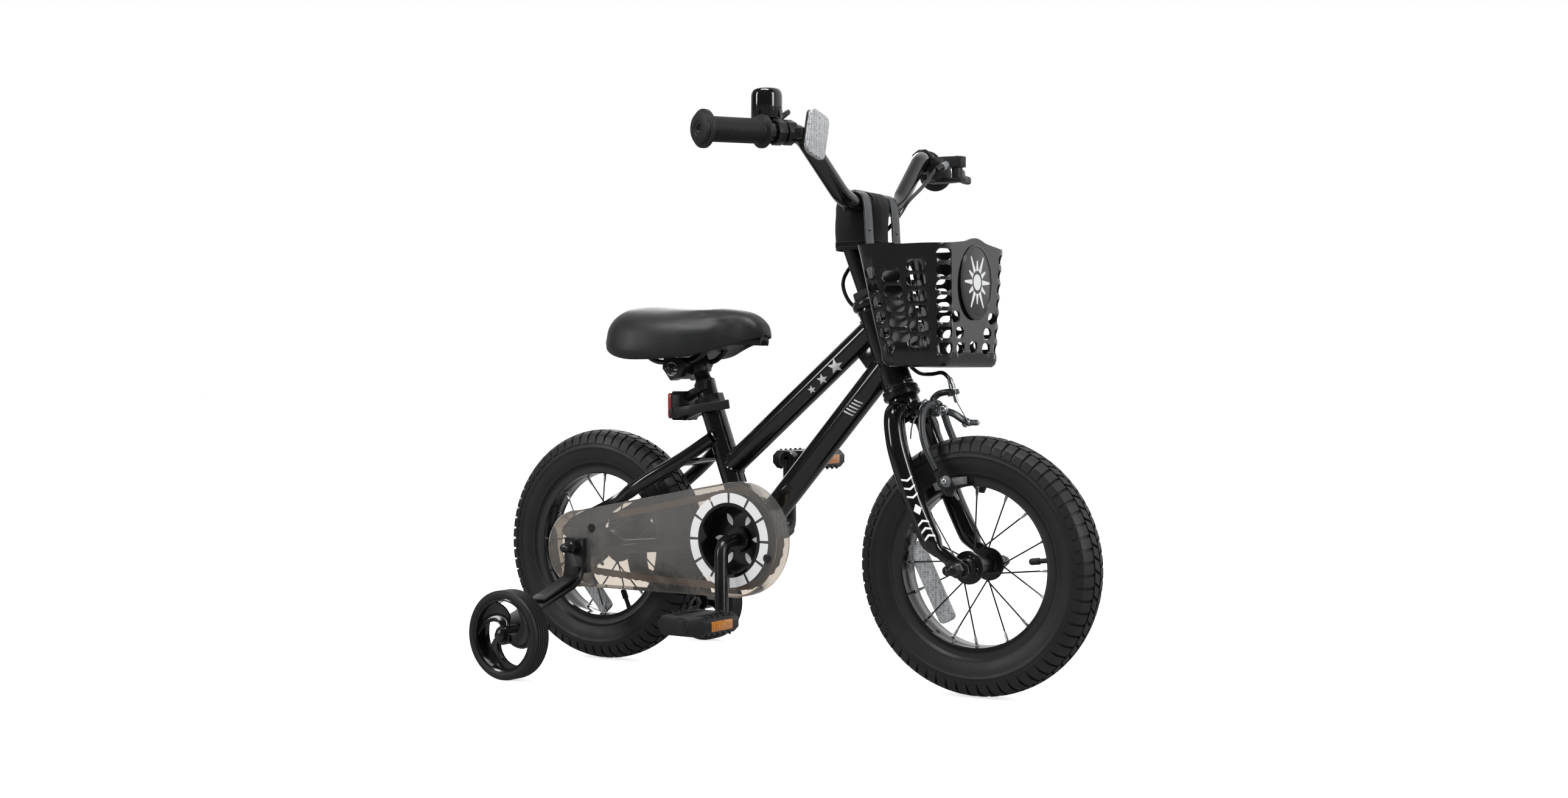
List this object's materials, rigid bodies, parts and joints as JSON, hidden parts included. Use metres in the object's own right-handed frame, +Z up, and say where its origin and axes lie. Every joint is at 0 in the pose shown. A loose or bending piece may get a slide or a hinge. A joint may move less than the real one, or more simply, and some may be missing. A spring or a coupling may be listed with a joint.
{
  "type": "kids bike with training wheels",
  "caption": "Child's bicycle with training wheels, lattice basket, bell, hand brake, chain case and quick-release saddle.",
  "frame": {"origin": "on the ground below the middle of the wheelbase", "axes": "+X forward along the bike, +Y to its left, +Z up"},
  "size_m": [0.874, 0.5634, 0.7161],
  "materials": {
    "gloss_black": "gloss",
    "black_steel": "satin",
    "grey_steel": "satin",
    "zinc": "zinc plated",
    "black_plastic": "fine texture",
    "gloss_plastic": "gloss moulded",
    "smoke_plastic": "smoky translucent",
    "clear_plastic": "clear prism reflector",
    "brake_rubber": "moulded",
    "tyre_rubber": "matt",
    "grip_rubber": "matt ribbed",
    "saddle_vinyl": "matt vinyl",
    "pad_cloth": "neoprene"
  },
  "bodies": {
    "frame_body": {"frame": "gloss_black", "headset_lower_cup": "gloss_black", "headset_upper_cup": "gloss_black", "seat_collar": "black_steel", "rear_axle": "black_steel", "chain_case": "smoke_plastic", "chain": "zinc", "training_bracket_right": "gloss_black", "training_bracket_left": "gloss_black", "training_bolt_right": "zinc", "training_bolt_left": "zinc"},
    "steering": {"fork": "gloss_black", "headset_locknut": "gloss_black", "stem": "gloss_black", "handlebar": "gloss_black", "handlebar_pad": "pad_cloth", "basket": "gloss_plastic", "basket_bracket_right": "grey_steel", "basket_bracket_left": "grey_steel", "front_reflector": "clear_plastic", "front_reflector_bracket": "black_plastic", "bell_base": "black_plastic", "bell_cup": "gloss_plastic", "brake_lever_mount": "black_plastic", "brake_cable": "black_plastic", "caliper_bolt": "zinc", "caliper_spring": "zinc", "grip_right": "grip_rubber", "grip_left": "grip_rubber", "front_axle": "black_steel"},
    "front_wheel": {"front_tyre": "tyre_rubber", "front_rim": "gloss_black", "front_hub": "black_steel", "front_wheel_reflector": "clear_plastic"},
    "rear_wheel": {"rear_tyre": "tyre_rubber", "rear_rim": "gloss_black", "rear_hub": "black_steel", "rear_wheel_reflector": "clear_plastic"},
    "crankset": {"crank": "gloss_black", "chainring": "gloss_black"},
    "sprocket": {"rear_sprocket": "zinc"},
    "pedal_right_body": {"pedal_right": "black_plastic"},
    "pedal_left_body": {"pedal_left": "black_plastic"},
    "training_wheel_right_body": {"training_wheel_right": "black_plastic", "training_tyre_right": "tyre_rubber"},
    "training_wheel_left_body": {"training_wheel_left": "black_plastic", "training_tyre_left": "tyre_rubber"},
    "lever_body": {"brake_lever": "black_steel"},
    "caliper_right_body": {"caliper_arm_right": "black_steel", "brake_pad_right": "brake_rubber"},
    "caliper_left_body": {"caliper_arm_left": "black_steel", "brake_pad_left": "brake_rubber"},
    "striker_body": {"bell_striker": "black_plastic"},
    "seat": {"seat_post": "gloss_black", "rear_reflector": "black_plastic", "saddle_clamp": "black_steel", "saddle_rails": "black_steel", "saddle_cover": "saddle_vinyl", "saddle_base": "black_plastic"},
    "quick_release_body": {"seat_quick_release": "black_plastic"}
  },
  "joints": [
    {"name": "steering_turn", "type": "hinge", "parent": "frame_body", "child": "steering", "pos_m": [0.1758, 0, 0.361], "axis": [-0.3649, 0, 0.9311], "range_deg": [-60, 60], "deforming": ["brake_cable"]},
    {"name": "front_wheel_spin", "type": "hinge", "parent": "steering", "child": "front_wheel", "pos_m": [0.282, 0, 0.155], "axis": [0, 1, 0], "continuous": true},
    {"name": "rear_wheel_spin", "type": "hinge", "parent": "frame_body", "child": "rear_wheel", "pos_m": [-0.282, 0, 0.155], "axis": [0, 1, 0], "continuous": true},
    {"name": "crank_spin", "type": "hinge", "parent": "frame_body", "child": "crankset", "pos_m": [-0.0368, 0, 0.175], "axis": [0, 1, 0], "continuous": true, "deforming": ["chain"]},
    {"name": "sprocket_spin", "type": "hinge", "parent": "frame_body", "child": "sprocket", "pos_m": [-0.282, 0, 0.155], "axis": [0, 1, 0], "continuous": true},
    {"name": "pedal_right_spin", "type": "hinge", "parent": "crankset", "child": "pedal_right_body", "pos_m": [-0.02795, -0.14, 0.07961], "axis": [0, 1, 0], "continuous": true},
    {"name": "pedal_left_spin", "type": "hinge", "parent": "crankset", "child": "pedal_left_body", "pos_m": [-0.04565, 0.14, 0.27039], "axis": [0, 1, 0], "continuous": true},
    {"name": "training_wheel_right_spin", "type": "hinge", "parent": "frame_body", "child": "training_wheel_right_body", "pos_m": [-0.269, -0.214, 0.0564], "axis": [0, 1, 0], "continuous": true},
    {"name": "training_wheel_left_spin", "type": "hinge", "parent": "frame_body", "child": "training_wheel_left_body", "pos_m": [-0.269, 0.214, 0.0564], "axis": [0, 1, 0], "continuous": true},
    {"name": "brake_lever_pull", "type": "hinge", "parent": "steering", "child": "lever_body", "pos_m": [0.166, 0.166, 0.646], "axis": [0, 0, 1], "range_deg": [0, 16], "stiffness_Nm_per_rad": 1, "springref_deg": -11.46, "deforming": ["brake_cable", "caliper_spring"]},
    {"name": "caliper_right_close", "type": "hinge", "parent": "steering", "child": "caliper_right_body", "pos_m": [0.22, 0, 0.341], "axis": [1, 0, 0], "range_deg": [0, 1.1]},
    {"name": "caliper_left_close", "type": "hinge", "parent": "steering", "child": "caliper_left_body", "pos_m": [0.216, 0, 0.341], "axis": [1, 0, 0], "range_deg": [-1.1, 0]},
    {"name": "bell_striker_flick", "type": "hinge", "parent": "steering", "child": "striker_body", "pos_m": [0.108, -0.166, 0.681], "axis": [-0.4426, 0.0752, 0.8935], "range_deg": [-14, 0], "stiffness_Nm_per_rad": 0.01, "springref_deg": 5.73},
    {"name": "seat_height", "type": "slide", "parent": "frame_body", "child": "seat", "axis": [-0.351, 0, 0.9364], "range_m": [0, 0.04]},
    {"name": "quick_release_open", "type": "hinge", "parent": "frame_body", "child": "quick_release_body", "pos_m": [-0.146, -0.03, 0.328], "axis": [0.1483, 0, -0.9889], "range_deg": [0, 170]}
  ],
  "couplings": [
    {"joint": "sprocket_spin", "follows": "crank_spin", "ratio": 1.875},
    {"joint": "caliper_right_close", "follows": "brake_lever_pull", "ratio": 0.0685},
    {"joint": "caliper_left_close", "follows": "brake_lever_pull", "ratio": -0.0685}
  ]
}
